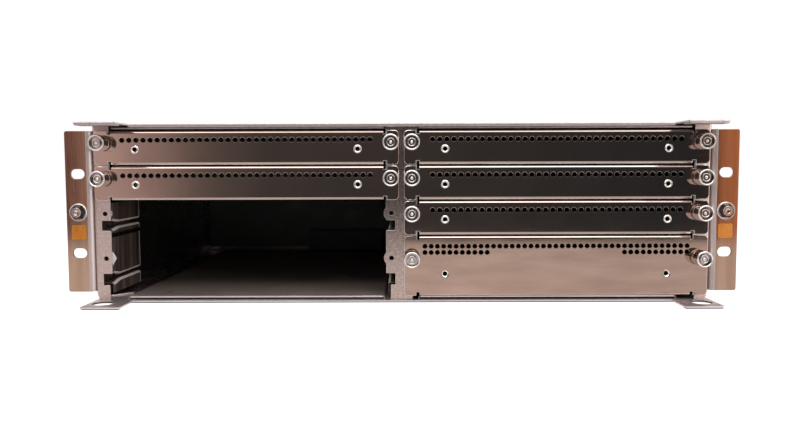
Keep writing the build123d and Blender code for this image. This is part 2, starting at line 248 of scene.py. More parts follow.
# Stage, with lengths in metres
FLOOR_GAP = 0.0007
FLOOR_Z = cad_box[0][2] - FLOOR_GAP
FLOOR_REACH = 6.0
FLOOR_TONE = (0.42, 0.42, 0.42, 1)
FLOOR_ROUGHNESS = 0.9
FLOOR_GLOW = 0.93
# Share of the floor's glow that reflections see, dimmer towards the right: painted reflection.
MIRRORED_PLACES = (0.0, 0.32)
MIRRORED_SHARES = (0.58, 0.42)
# Edge softness of the painted contact shadow, where the floor's glow is cut, and its reach under the tabs.
CONTACT_SOFT = 0.001
TAB_CONTACT = 0.006
WHITE = (1, 1, 1, 1)
WORLD_LIGHT = 0.2
WORLD_SEEN = 1.0
# Glowing card that only reflections see, with its tones along X: painted reflections, dim in the middle and
# warmer towards both sides, with a pale band on the left and an orange band and a pale end on the right.
CARD_Y = -0.40
CARD_TOP = 0.20
CARD_REACH = 1.2
PAINTED_REFLECTION_TONES = [
    (-CARD_REACH, (0.19, 0.10, 0.085)), (-0.410, (0.18, 0.095, 0.083)), (-0.403, (0.90, 0.74, 0.72)),
    (-0.373, (0.80, 0.65, 0.64)), (-0.264, (0.22, 0.20, 0.19)), (-0.185, (0.10, 0.10, 0.10)),
    (0.10, (0.066, 0.07, 0.074)), (0.40, (0.034, 0.045, 0.052)), (0.408, (0.80, 0.31, 0.10)),
    (0.44, (0.80, 0.31, 0.10)), (0.50, (1.0, 0.88, 0.84)), (CARD_REACH, (1.0, 0.88, 0.84))]

# Lamps, aimed at the origin: name, place and size in metres, power in watts
LAMPS = (("overhead", (0, -0.28, 1.0), (1.6, 0.4), 6),
         ("front_right", (0.95, -0.60, 0.10), (0.4, 0.4), 4),
         ("front_top", (0.1, -0.82, 1.0), (1.8, 0.4), 10))

# Camera: place in metres, angles in radians, lens and sensor in millimetres
CAMERA_PLACE = (0.0032, -0.508, 0.034)
CAMERA_PITCH = 0.0658
CAMERA_YAW = -0.0042
CAMERA_ROLL = -0.0030
CAMERA_LENS = 31.51
CAMERA_SENSOR = 36.0
CAMERA_NEAR = 0.01


def node_box(node):
    """Lowest and highest corner of a node, in millimetres."""
    low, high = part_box(node)
    return low / MM, high / MM


# Mesh building

class Shape:
    """Points and faces of one piece, in millimetres; each new face takes the finish in use."""

    def __init__(self, finish):
        self.points = []
        self.faces = []
        self.flat = []
        self.finishes = []
        self.main_finish = finish
        self.finish = finish

    def point(self, place):
        """Add a point and give its number."""
        self.points.append(place)
        return len(self.points) - 1

    def face(self, ids, flat=False):
        """Add a face over numbered points."""
        self.faces.append(ids)
        self.flat.append(flat)
        self.finishes.append(self.finish)

    def cap(self, loops, rings):
        """Add a flat face over an outline and its holes."""
        ids = [i for ring in rings for i in ring]
        lines = [[Vector((u, v, 0)) for u, v in loop] for loop in loops]
        for triangle in geometry.tessellate_polygon(lines):
            self.face([ids[i] for i in triangle], flat=True)

    def build(self, name, slot, *nodes):
        """The finished object, riding on the cage and standing for the named nodes."""
        materials = list(dict.fromkeys([self.main_finish] + self.finishes))
        numbers = {material: number for number, material in enumerate(materials)}
        mesh = bpy.data.meshes.new(name)
        mesh.from_pydata([[c * MM for c in p] for p in self.points], [], self.faces)
        mesh.polygons.foreach_set("use_smooth", [not flat for flat in self.flat])
        mesh.polygons.foreach_set("material_index", [numbers[finish] for finish in self.finishes])
        work = bmesh.new()
        work.from_mesh(mesh)
        bmesh.ops.remove_doubles(work, verts=work.verts, dist=WELD_METRES)
        bmesh.ops.recalc_face_normals(work, faces=work.faces)
        work.to_mesh(mesh)
        work.free()
        smooth = [face.use_smooth for face in mesh.polygons]
        mesh.set_sharp_from_angle(angle=SHARP_ANGLE)
        mesh.polygons.foreach_set("use_smooth", smooth)
        for material in materials:
            mesh.materials.append(material)
        piece = bpy.data.objects.new(name, mesh)
        bpy.context.scene.collection.objects.link(piece)
        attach(piece, "root")
        if nodes:
            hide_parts(*nodes)


def arc(centre, radius, start, end, steps=FOLD_STEPS):
    """Points of an arc between two angles in degrees."""
    angles = [math.radians(start + (end - start) * i / steps) for i in range(steps + 1)]
    return [(centre[0] + radius * math.cos(a), centre[1] + radius * math.sin(a)) for a in angles]


def circle(x, y, radius, sides=HOLE_SIDES):
    """Round hole, run clockwise so that the metal lies on its left."""
    turn = -2 * math.pi / sides
    return [(x + radius * math.cos(turn * i), y + radius * math.sin(turn * i)) for i in range(sides)]


def slot_hole(x, y, length, width, sides=HOLE_SIDES):
    """Hole with two round ends, run clockwise."""
    radius = width / 2
    half = length / 2 - radius
    points = []
    for i in range(sides + 2):
        end = 0 if i <= sides // 2 else 1
        angle = math.pi / 2 - 2 * math.pi * (i - end) / sides
        middle = x + (half if end == 0 else -half)
        points.append((middle + radius * math.cos(angle), y + radius * math.sin(angle)))
    return points


def rectangle(low_u, low_v, high_u, high_v, radius=0):
    """Corners of a rectangle, each with a radius."""
    corners = ((low_u, low_v), (high_u, low_v), (high_u, high_v), (low_u, high_v))
    return [(u, v, radius) for u, v in corners]


def round_corners(points, steps=CORNER_STEPS):
    """Outline with an arc at each corner that has a radius: points are (u, v, radius)."""
    result = []
    for i, (u, v, radius) in enumerate(points):
        here = Vector((u, v))
        if radius == 0:
            result.append((u, v))
            continue
        back = (Vector(points[i - 1][:2]) - here).normalized()
        ahead = (Vector(points[(i + 1) % len(points)][:2]) - here).normalized()
        half = back.angle(ahead) / 2
        centre = here + (back + ahead).normalized() * radius / math.sin(half)
        first = here + back * radius / math.tan(half) - centre
        last = here + ahead * radius / math.tan(half) - centre
        sweep = first.angle_signed(last)
        for step in range(steps + 1):
            turn = Matrix.Rotation(-sweep * step / steps, 2)
            result.append(tuple(centre + turn @ first))
    return result


def inset(loop, by, is_open):
    """Outline drawn in by a distance, except along its open edges."""
    if by == 0:
        return loop
    result = []
    for i, here in enumerate(loop):
        lines = []
        for a, b in ((loop[i - 1], here), (here, loop[(i + 1) % len(loop)])):
            along = (Vector(b) - Vector(a)).normalized()
            normal = Vector((-along.y, along.x))
            lines.append((along, normal * (0 if is_open(a, b) else by)))
        (along_0, shift_0), (along_1, shift_1) = lines
        cross = along_0.x * along_1.y - along_0.y * along_1.x
        moved = Vector(here) + shift_0
        if abs(cross) > PARALLEL:
            gap = shift_1 - shift_0
            moved += along_0 * (gap.x * along_1.y - gap.y * along_1.x) / cross
        result.append(tuple(moved))
    return result


def closed(a, b):
    """No edge of the outline is open."""
    return False


def along_seam(axis, *seams):
    """Test for the open edges of an outline: those on a seam, where the sheet goes on as a fold."""
    def is_open(a, b):
        return any(abs(a[axis] - seam) < SAME_PLACE and abs(b[axis] - seam) < SAME_PLACE for seam in seams)
    return is_open


def rim_section(edge, thickness):
    """Softened edge of a sheet, front to back: (distance into the metal, depth)."""
    soft, back = edge * RIM_ROUND, EDGE * RIM_ROUND
    return [(edge, 0), (soft, soft), (0, edge), (0, thickness - EDGE), (back, thickness - back),
            (EDGE, thickness)]


def plate(shape, loops, place, thickness=SHEET, is_open=closed, edges=(EDGE, EDGE), rims=(None, None),
          back_finish=None):
    """Sheet with softened rims; outlines run with the metal on their left.

    Edges and rims give the softening and the finish of the outline and of the holes: the rims' finishes are
    painted highlights on outlines and painted shade in holes. The upper half of a hole's front bevel keeps
    the finish of the sheet."""
    finish = shape.finish
    front, back = ([], []), ([], [])
    for number, loop in enumerate(loops):
        hole = min(number, 1)
        section = rim_section(edges[hole], thickness)
        drawn = [inset(loop, by, is_open) for by, depth in section]
        rings = [[shape.point(place(u, v, depth)) for u, v in line]
                 for line, (by, depth) in zip(drawn, section)]
        for face, level in ((front, 0), (back, -1)):
            face[0].append(drawn[level])
            face[1].append(rings[level])
        middle = sum(v for u, v in loop) / len(loop)
        for level, (outer, inner) in enumerate(zip(rings, rings[1:])):
            for i in range(len(loop)):
                j = (i + 1) % len(loop)
                if is_open(loop[i], loop[j]):
                    continue
                upper_lip = hole and level < BEVEL_BANDS and loop[i][1] + loop[j][1] > 2 * middle
                shape.finish = finish if upper_lip else rims[hole] or finish
                shape.face((outer[i], outer[j], inner[j], inner[i]))
    shape.finish = finish
    shape.cap(*front)
    shape.finish = back_finish or finish
    shape.cap(*back)
    shape.finish = finish


def prism(shape, profile, start, end, place, open_last=False, finishes=(), end_finish=None):
    """Profile carried along a line; start and end are places on it, or depend on the profile's point.

    Finishes are those of the profile's first sides, where they differ from the rest."""
    finish = shape.finish
    first, last = ([shape.point(place(p, stop(p) if callable(stop) else stop)) for p in profile]
                   for stop in (start, end))
    for i in range(len(profile) - (1 if open_last else 0)):
        j = (i + 1) % len(profile)
        shape.finish = finishes[i] if i < len(finishes) else finish
        shape.face((first[i], first[j], last[j], last[i]))
    shape.finish = end_finish or finish
    shape.cap([profile], [first])
    shape.cap([profile], [last])
    shape.finish = finish


def turned(shape, profile, place, sides=TURNED_SIDES):
    """Body of revolution; profile points are (radius, height) or (radius, height, flats)."""
    rings = []
    for radius, height, *flats in profile:
        ring = []
        for i in range(sides):
            angle = 2 * math.pi * i / sides
            reach = radius
            if flats:
                half = math.pi / flats[0]
                reach = radius / math.cos(angle % (2 * half) - half)
            ring.append(shape.point(place(reach * math.cos(angle), reach * math.sin(angle), height)))
        rings.append(ring)
    for a, b in zip(rings, rings[1:]):
        for i in range(sides):
            j = (i + 1) % sides
            shape.face((a[i], a[j], b[j], b[i]))


def turned_bands(shape, bands, place):
    """Body of revolution in bands of different finish: bands are (finish, profile)."""
    for finish, profile in bands:
        shape.finish = finish
        turned(shape, profile, place)


def lying(top):
    """Place on a level sheet: u to the right, v to the back, depth below its upper face."""
    return lambda u, v, depth: (u, v, top - depth)


def standing(front, side=1):
    """Place on an upright sheet: u outwards on its side, v up, depth behind its front."""
    return lambda u, v, depth: (side * u, front + depth, v)


def facing(look, x, y, z):
    """Place on a face that looks along (axis, way): u and v lie in it, and height is away from it."""
    axis, way = look

    def place(u, v, height):
        offsets = [u, v]
        offsets.insert(axis, way * height)
        return x + offsets[0], y + offsets[1], z + offsets[2]

    return place


# Finishes

class Graph:
    """Nodes of one material or of the world."""

    def __init__(self, owner):
        owner.use_nodes = True
        self.nodes = owner.node_tree.nodes
        self.links = owner.node_tree.links

    def add(self, kind, inputs=()):
        """New node: inputs are (name, value or output of another node)."""
        node = self.nodes.new(kind)
        for name, value in inputs:
            self.feed(node.inputs[name], value)
        return node

    def feed(self, socket, value):
        """Link an output to a socket, or set a plain value on it."""
        if isinstance(value, bpy.types.NodeSocket):
            self.links.new(value, socket)
        else:
            socket.default_value = value

    def noise(self, scale, detail, stretch=(1, 1, 1), roughness=NOISE_ROUGHNESS):
        """Noise in the object's own coordinates, stretched along its axes."""
        place = self.add("ShaderNodeTexCoord").outputs["Object"]
        mapping = self.add("ShaderNodeMapping", [("Vector", place), ("Scale", stretch)])
        texture = self.add("ShaderNodeTexNoise", [
            ("Vector", mapping.outputs["Vector"]), ("Scale", scale), ("Detail", detail),
            ("Roughness", roughness)])
        return texture.outputs["Fac"]

    def ramp(self, value, positions, colours):
        """Colours or greys along a value, each at its position."""
        node = self.add("ShaderNodeValToRGB", [("Fac", value)])
        while len(node.color_ramp.elements) < len(colours):
            node.color_ramp.elements.new(0.5)
        for element, position, colour in zip(node.color_ramp.elements, positions, colours):
            element.position = position
            element.color = (*colour, 1) if isinstance(colour, tuple) else (colour, colour, colour, 1)
        return node.outputs["Color"]

    def bump(self, value, strength, distance):
        """Fine relief from a grey value."""
        node = self.add("ShaderNodeBump", [
            ("Strength", strength), ("Distance", distance), ("Height", value)])
        return node.outputs["Normal"]

    def math(self, operation, *values):
        """Result of a sum, product or extreme of values."""
        node = self.nodes.new("ShaderNodeMath")
        node.operation = operation
        for socket, value in zip(node.inputs, values):
            self.feed(socket, value)
        return node.outputs["Value"]

    def map_range(self, value, source, target=(0.0, 1.0)):
        """Value carried from one range to another and held at its ends."""
        node = self.add("ShaderNodeMapRange", [
            ("Value", value), ("From Min", source[0]), ("From Max", source[1]), ("To Min", target[0]),
            ("To Max", target[1])])
        return node.outputs["Result"]

    def position(self):
        """Place in the scene, in metres: outputs X, Y and Z."""
        place = self.add("ShaderNodeNewGeometry").outputs["Position"]
        return self.add("ShaderNodeSeparateXYZ", [("Vector", place)]).outputs

    def seen_rays(self, mirrored=1.0):
        """1 for camera rays, and the mirrored share for rays by reflection or through glass."""
        path = self.add("ShaderNodeLightPath").outputs
        seen = path["Is Camera Ray"]
        for kind in ("Is Glossy Ray", "Is Transmission Ray"):
            seen = self.math("MAXIMUM", seen, self.math("MULTIPLY", path[kind], mirrored))
        return seen


def new_material(name):
    """Material with its graph and the inputs of its shader."""
    material = bpy.data.materials.new(name)
    graph = Graph(material)
    return material, graph, graph.nodes["Principled BSDF"].inputs


def metal(name, dark, light, rough, grain=LENGTHWISE, relief=0.02, blotch=BROAD, metallic=1.0):
    """Plated sheet: two close tones, a directional grain, fine scratches and smudges."""
    material, graph, shader = new_material(name)
    cloud = graph.noise(1.0, CLOUD_DETAIL, blotch)
    lines = graph.noise(1.0, GRAIN_DETAIL, grain, GRAIN_ROUGHNESS)
    smudges = graph.noise(SMUDGE_SCALE, SMUDGE_DETAIL)
    wear = graph.math("MULTIPLY_ADD", smudges, SMUDGE_SHARE, lines)
    graph.feed(shader["Metallic"], metallic)
    graph.feed(shader["Base Color"], graph.ramp(cloud, CLOUD_STOPS, (dark, light)))
    graph.feed(shader["Roughness"], graph.ramp(wear, GRAIN_STOPS, rough))
    graph.feed(shader["Normal"], graph.bump(lines, relief, METAL_RELIEF_METRES))
    return material


def plastic(name, dark, light, rough, blotch=300.0, relief=0.15):
    """Moulded or coated surface with a fine texture."""
    material, graph, shader = new_material(name)
    cloud = graph.noise(blotch, GRAIN_DETAIL)
    graph.feed(shader["Base Color"], graph.ramp(cloud, CLOUD_STOPS, (dark, light)))
    graph.feed(shader["Roughness"], graph.ramp(cloud, CLOUD_STOPS, rough))
    graph.feed(shader["Normal"], graph.bump(cloud, relief, PLASTIC_RELIEF_METRES))
    return material


PANEL_METAL = metal("panel_metal", (0.40, 0.29, 0.247), (0.47, 0.348, 0.297), (0.05, 0.11))
TALL_METAL = metal("tall_metal", (0.37, 0.248, 0.197), (0.49, 0.335, 0.268), (0.05, 0.14),
                   blotch=TALL_STREAKS)
# Lighter copies of the panel metal: painted highlights on the panels' folds and outline rims, dimmer on the
# top folds.
HIGHLIGHT_LINE_METAL = metal("highlight_line_metal", (0.66, 0.59, 0.56), (0.76, 0.69, 0.66), (0.12, 0.22))
CREST_HIGHLIGHT_METAL = metal("crest_highlight_metal", (0.48, 0.415, 0.395), (0.58, 0.51, 0.485), (0.12, 0.22))
SHELL_METAL = metal("shell_metal", (0.52, 0.45, 0.43), (0.62, 0.54, 0.52), (0.20, 0.32), relief=0.05)
SATIN_METAL = metal("satin_metal", (0.48, 0.42, 0.415), (0.60, 0.53, 0.525), (0.36, 0.48), ALL_WAYS, 0.12,
                    SPECKLE)
# Darker copy of the satin metal for the cover's plate: painted shade, where the hems keep the satin.
SHADED_COVER_METAL = metal("shaded_cover_metal", (0.31, 0.27, 0.266), (0.39, 0.34, 0.336), (0.52, 0.64), ALL_WAYS, 0.12,
                    SPECKLE)
POST_METAL = metal("post_metal", (0.40, 0.295, 0.258), (0.61, 0.48, 0.43), (0.18, 0.27), ALL_WAYS, 0.25,
                   SPANGLE)
WALL_METAL = metal("wall_metal", (0.53, 0.405, 0.37), (0.71, 0.565, 0.52), (0.36, 0.48), ALL_WAYS, 0.3,
                   SPANGLE)
# Light satin metal: the own tone of the jack's flange and the clinch nuts, and painted highlights on the
# rims of posts, rear wall, base plate and floor liners.
LIGHT_METAL_AND_RIM_HIGHLIGHT = metal("light_metal_and_rim_highlight", (0.70, 0.64, 0.63), (0.82, 0.76, 0.75), (0.30, 0.42), ALL_WAYS, 0.05)
# Pale, mostly non-metal finish: painted highlights on the guides' lips, the cover's rims and the ends of its
# tab hems.
LIP_HIGHLIGHT_METAL = metal("lip_highlight_metal", (0.74, 0.65, 0.61), (0.86, 0.77, 0.73), (0.30, 0.42), ALL_WAYS, 0.05,
                  metallic=0.2)
# Dark metal of the raised floors inside the bays: painted shade.
SHADED_FLOOR_METAL = metal("shaded_floor_metal", (0.15, 0.118, 0.106), (0.20, 0.16, 0.145), (0.36, 0.46), relief=0.05,
                    metallic=0.2)
# Dark copy of the shell metal for faces inside the cage: painted shade.
SHADED_INNER_METAL = metal("painted_shade_inner_metal", (0.17, 0.145, 0.135), (0.23, 0.20, 0.185), (0.25, 0.38))
EAR_METAL = metal("ear_metal", (0.42, 0.265, 0.188), (0.54, 0.355, 0.26), (0.10, 0.20), UPRIGHT, 0.05,
                  EAR_STREAKS)
# Lighter, greyer metal on the bend of each ear: painted highlight.
FOLD_HIGHLIGHT_METAL = metal("fold_highlight_metal", (0.51, 0.43, 0.41), (0.61, 0.52, 0.50), (0.42, 0.52), UPRIGHT, 0.05)
GUIDE_METAL = metal("guide_metal", (0.035, 0.024, 0.02), (0.24, 0.172, 0.14), (0.24, 0.38), UPRIGHT, 0.05,
                    GUIDE_STREAKS, 0.4)
BRIGHT_METAL = metal("bright_metal", (0.64, 0.56, 0.53), (0.74, 0.66, 0.63), (0.10, 0.18), TURNED_GRAIN)
# Darker metal inside the knob's cup and the screw head's dish: painted shade in the hollows.
SHADED_CUP_METAL = metal("shaded_cup_metal", (0.40, 0.35, 0.33), (0.50, 0.44, 0.42), (0.12, 0.20), TURNED_GRAIN)
# Near-black metal for the walls of holes and the jack's hexagon: painted shade.
PAINTED_SHADE_METAL = metal("painted_shade_metal", (0.035, 0.028, 0.026), (0.06, 0.05, 0.046), (0.22, 0.34), TURNED_GRAIN)
# Near-white metal: the press nuts' own tone, and painted highlights on the knobs' edges and rims and the
# screw heads' tips.
NUT_AND_HIGHLIGHT_METAL = metal("nut_and_highlight_metal", (0.84, 0.79, 0.74), (0.90, 0.86, 0.82), (0.18, 0.28), TURNED_GRAIN)
SOCKET_PLASTIC = plastic("socket_plastic", (0.012, 0.012, 0.013), (0.025, 0.025, 0.026), (0.45, 0.6))
BOARD_GREEN = plastic("board_green", (0.008, 0.028, 0.014), (0.014, 0.045, 0.022), (0.40, 0.55), 60.0, 0.05)
AMBER_PLASTIC = plastic("amber_plastic", (0.56, 0.17, 0.01), (0.70, 0.24, 0.02), (0.3, 0.45), 200.0, 0.05)

# Bands of the turned parts: painted highlights on the knob's edge and rim and on the head's tip, painted
# shade in the cup, the dish and the jack's hexagon.
KNOB_BANDS = ((BRIGHT_METAL, KNOB_COLLAR), (NUT_AND_HIGHLIGHT_METAL, KNOB_EDGE), (BRIGHT_METAL, KNOB_BODY),
              (NUT_AND_HIGHLIGHT_METAL, KNOB_RIM), (SHADED_CUP_METAL, KNOB_CUP))
HEAD_BANDS = ((BRIGHT_METAL, HEAD_RING), (NUT_AND_HIGHLIGHT_METAL, HEAD_TIP), (SHADED_CUP_METAL, HEAD_DISH))
JACK_BANDS = ((LIGHT_METAL_AND_RIM_HIGHLIGHT, JACK_FLANGE), (PAINTED_SHADE_METAL, JACK_HEX), (BRIGHT_METAL, JACK_FACE))


# Slots of the cage, read from the panels' own boxes

class Row:
    """Heights of one slot."""

    def __init__(self, number):
        low, high = node_box(f"right_panel_{number}")
        self.high = high.z
        self.tall = high.z - low.z > TALL_LIMIT
        self.screw = high.z - (TALL_SCREW_DROP if self.tall else SCREW_DROP)
        self.channel = high.z - (TALL_CHANNEL_DROP if self.tall else CHANNEL_DROP)
        self.notch = TALL_NOTCH_HEIGHT if self.tall else NOTCH_HEIGHT
        self.nut = high.z - (TALL_NUT_DROP if self.tall else NUT_DROP)
        self.vents = TALL_VENTS if self.tall else SHORT_VENTS


ROWS = [Row(number) for number in range(1, SLOT_COUNT + 1)]
PANELS = sorted(node for node in frame["nodes"] if node.startswith(("left_panel_", "right_panel_")))
PANEL_FACE = node_box("right_panel_1")[0].y
BODY_LOW, BODY_HIGH = node_box("right_side_wall")
HALF_WIDTH = BODY_HIGH.x
WALL_SEAM = HALF_WIDTH - FOLD
POST_EDGE = HALF_WIDTH - POST_WIDTH


def node_row(node):
    """Slot that a numbered node belongs to."""
    return ROWS[int(node[-1]) - 1]


def node_side(node):
    """1 for a node of the right column and -1 for one of the left."""
    return 1 if node.startswith("right") else -1


# Blank panels and their fasteners

def vent_places(row, centre):
    """Centres of the vents of a panel."""
    vents = row.vents
    pitch = vents["pitch"]
    height = row.high - vents["drop"]
    places = [(centre + (i - (vents["count"] - 1) / 2) * pitch, height) for i in range(vents["count"])]
    ends = vents["end_count"]
    for x, z in places[:ends] + places[len(places) - ends:]:
        places.append((x, z - pitch))
    return places


def folded_edge(shape, side, low, high, sign, back):
    """Fold and flange along the top (sign 1) or bottom (sign -1) edge of a panel; past its first steps the
    fold and the flange take a painted highlight, dimmer along the top edge.
    """
    rim = high if sign > 0 else low
    centre = (PANEL_FACE + FOLD, rim - sign * FOLD)
    profile = arc(centre, FOLD, 180, 180 - sign * 90) + [(back, rim), (back, rim - sign * SHEET)]
    profile += arc(centre, FOLD - SHEET, 180 - sign * 90, 180)
    shape.finish = CREST_HIGHLIGHT_METAL if sign > 0 else HIGHLIGHT_LINE_METAL
    prism(shape, profile, FLANGE_START, FLANGE_END, lambda p, x: (side * x, p[0], p[1]), open_last=True,
          finishes=(shape.main_finish,) * FACE_FOLD_STEPS)


def panel(node):
    """Blank panel: punched face, rounded corners and two folded flanges."""
    low, high = node_box(node)
    side, row = node_side(node), node_row(node)
    near, far = sorted((abs(low.x), abs(high.x)))
    centre = (near + far) / 2
    left, right = FLANGE_START - RELIEF_WIDTH, FLANGE_END + RELIEF_WIDTH
    reliefs = [(left, 0), (left, RELIEF_DEPTH), (FLANGE_START, RELIEF_DEPTH), (FLANGE_START, FOLD),
               (FLANGE_END, FOLD), (FLANGE_END, RELIEF_DEPTH), (right, RELIEF_DEPTH), (right, 0)]
    outline = [(near, low.z, PANEL_CORNER)]
    outline += [(x, low.z + rise, 0) for x, rise in reliefs]
    outline += [(far, low.z, PANEL_CORNER), (far, high.z, PANEL_CORNER)]
    outline += [(x, high.z - rise, 0) for x, rise in reversed(reliefs)]
    outline.append((near, high.z, PANEL_CORNER))
    loops = [round_corners(outline)]
    loops += [circle(x, z, row.vents["radius"]) for x, z in vent_places(row, centre)]
    loops += [circle(centre + way * NUT_OFFSET, row.nut, NUT_HOLE) for way in (-1, 1)]
    shape = Shape(TALL_METAL if row.tall else PANEL_METAL)
    # Painted highlight on the panel's outline rim and painted shade on the walls of its holes.
    plate(shape, loops, standing(PANEL_FACE, side), is_open=along_seam(1, low.z + FOLD, high.z - FOLD),
          edges=(PANEL_EDGE, VENT_EDGE), rims=(HIGHLIGHT_LINE_METAL, PAINTED_SHADE_METAL))
    for sign in (1, -1):
        folded_edge(shape, side, low.z, high.z, sign, high.y)
    shape.build(f"{node}_sheet", "panel_sheet", node)


def panel_fasteners():
    """Knobs, screw heads and press-in nuts."""
    knobs, heads, nuts = Shape(BRIGHT_METAL), Shape(BRIGHT_METAL), Shape(NUT_AND_HIGHLIGHT_METAL)
    for node in PANELS:
        low, high = node_box(node)
        side, row = node_side(node), node_row(node)
        for x in (CENTRE_SCREW_X, WALL_SCREW_X):
            place = facing(FRONT, side * x, PANEL_FACE, row.screw)
            turned_bands(knobs, KNOB_BANDS, place)
            turned_bands(heads, HEAD_BANDS, place)
        for way in (-1, 1):
            place = facing(FRONT, (low.x + high.x) / 2 + way * NUT_OFFSET, PANEL_FACE, row.nut)
            turned(nuts, FLUSH_NUT if row.tall else PRESS_NUT, place, NUT_SIDES)
    knobs.build("panel_knobs", "bright_hardware", "screw_knobs")
    heads.build("panel_screw_heads", "bright_hardware", "captive_screws")
    nuts.build("panel_press_nuts", "bright_hardware")


# Ears

def ear(side, name):
    """Folded ear with two rack slots and the hole of its jack."""
    low, high = node_box(f"{name}_rack_ear")
    far = max(abs(low.x), abs(high.x))
    seam = HALF_WIDTH + EAR_FOLD
    outline = [(seam, low.z, 0), (far, low.z, EAR_CORNER), (far, high.z, EAR_CORNER), (seam, high.z, 0)]
    loops = [round_corners(outline), circle(SLOT_X, JACK_LIFT, JACK_HOLE)]
    loops += [slot_hole(SLOT_X, way * SLOT_RISE / 2, SLOT_LENGTH, SLOT_WIDTH) for way in (-1, 1)]
    shape = Shape(EAR_METAL)
    plate(shape, loops, standing(low.y, side), EAR_SHEET, along_seam(0, seam))
    centre = (seam, low.y + EAR_FOLD)
    profile = arc(centre, EAR_FOLD, 270, 180) + [(HALF_WIDTH, high.y), (HALF_WIDTH + EAR_SHEET, high.y)]
    profile += arc(centre, EAR_FOLD - EAR_SHEET, 180, 270)
    # The bend takes a painted highlight.
    shape.finish = FOLD_HIGHLIGHT_METAL
    prism(shape, profile, low.z, high.z, lambda p, z: (side * p[0], p[1], z), open_last=True)
    shape.build(f"{name}_ear_sheet", "ear_sheet", f"{name}_rack_ear")


def jack(side, name):
    """Bonding jack: rolled flange, hexagon in painted shade and bright bored face."""
    front = node_box(f"{name}_rack_ear")[0].y
    shape = Shape(LIGHT_METAL_AND_RIM_HIGHLIGHT)
    turned_bands(shape, JACK_BANDS, facing(FRONT, side * SLOT_X, front, JACK_LIFT))
    shape.build(f"{name}_jack_body", "bright_hardware", f"{name}_bonding_jack")


def patch(side, name):
    """Plain amber patch below the jack."""
    front = node_box(f"{name}_rack_ear")[0].y - PATCH_SHEET
    half = PATCH_SIZE / 2
    corners = rectangle(SLOT_X - half, PATCH_Z - half, SLOT_X + half, PATCH_Z + half, PATCH_CORNER)
    shape = Shape(AMBER_PLASTIC)
    plate(shape, [round_corners(corners)], standing(front, side), PATCH_SHEET)
    shape.build(f"{name}_ear_patch", "socket_plastic")


# Posts and walls

def lobe_points(edge, inward, radius, height):
    """Round lobe of a post's edge beside a screw."""
    offset = abs(edge) - CENTRE_SCREW_X
    turn = math.degrees(math.acos(offset / radius))
    return [(edge + inward * offset - inward * out, height + rise, 0)
            for out, rise in arc((0, 0), radius, turn, -turn, LOBE_STEPS)]


def notched_edge(edge, inward, foot, bottom, lobe=0):
    """Post edge from the top down: lobes at the screws, notches at the channels and a step at the foot."""
    depth, step = edge + inward * NOTCH_WIDTH, edge + inward * foot
    points = []
    for row in ROWS:
        if lobe:
            points += lobe_points(edge, inward, lobe, row.screw)
        top, base = row.channel + row.notch / 2, row.channel - row.notch / 2
        points += [(edge, top, NOTCH_MOUTH), (depth, top, NOTCH_CORNER), (depth, base, NOTCH_CORNER)]
        points.append((step, base, NOTCH_CORNER) if row.tall else (edge, base, NOTCH_MOUTH))
    points.append((step, bottom, 0))
    return points


def front_corner(shape, side):
    """Notched post of a side wall and the rounded corner behind it, cut away at the foot."""
    bottom, top = BODY_LOW.z, BODY_HIGH.z
    slope = FOOT_CUT_HEIGHT / FOOT_CUT_WIDTH
    cut = HALF_WIDTH - FOOT_CUT_WIDTH
    outline = [(cut, bottom, 0), (WALL_SEAM, bottom + (WALL_SEAM - cut) * slope, 0), (WALL_SEAM, top, 0),
               (POST_EDGE, top, 0)]
    outline += notched_edge(POST_EDGE, 1, WALL_FOOT, bottom)
    loops = [round_corners(outline)] + [circle(WALL_SCREW_X, row.screw, THREAD_HOLE) for row in ROWS]
    # Painted highlight on the post's outline rim.
    plate(shape, loops, standing(0, side), is_open=along_seam(0, WALL_SEAM), rims=(LIGHT_METAL_AND_RIM_HIGHLIGHT, None))
    centre = (WALL_SEAM, FOLD)
    profile = arc(centre, FOLD, 270, 360)
    profile += [(HALF_WIDTH, CORNER_LENGTH), (HALF_WIDTH - SHEET, CORNER_LENGTH)]
    profile += arc(centre, FOLD - SHEET, 360, 270)
    prism(shape, profile, lambda p: bottom + max(0, p[0] - cut) * slope, top,
          lambda p, z: (side * p[0], p[1], z), open_last=True)


def rear_corner(shape, side):
    """Rounded rear corner of a side wall and the flange that carries the rear wall."""
    back = BODY_HIGH.y
    centre = (WALL_SEAM, back - FOLD)
    profile = [(HALF_WIDTH - SHEET, back - CORNER_LENGTH), (HALF_WIDTH, back - CORNER_LENGTH)]
    profile += arc(centre, FOLD, 0, 90) + [(POST_EDGE, back), (POST_EDGE, back - SHEET)]
    profile += arc(centre, FOLD - SHEET, 90, 0)
    prism(shape, profile, BODY_LOW.z, BODY_HIGH.z, lambda p, z: (side * p[0], p[1], z))


def wall_and_flanges(shape, side):
    """Flat of a side wall, with a flange under the cover and one on the floor."""
    bottom, top = BODY_LOW.z, BODY_HIGH.z
    front, back = CORNER_LENGTH, BODY_HIGH.y - CORNER_LENGTH
    low_centre, high_centre = (WALL_SEAM, bottom + FOLD), (WALL_SEAM, top - FOLD)
    profile = [(WALL_SEAM, bottom)] + arc(low_centre, FOLD, 270, 360)[1:] + arc(high_centre, FOLD, 0, 90)
    profile += arc(high_centre, FOLD - SHEET, 90, 0) + arc(low_centre, FOLD - SHEET, 360, 270)
    prism(shape, profile, front, back, lambda p, y: (side * p[0], y, p[1]))
    inner = HALF_WIDTH - FLANGE_WIDTH
    flange = [(inner, front + FLANGE_CUT), (inner + FLANGE_CUT, front), (WALL_SEAM, front),
              (WALL_SEAM, back), (inner, back)]
    for height in (bottom, top - SHEET):
        plate(shape, [flange], lambda u, v, w: (side * u, v, height + w))


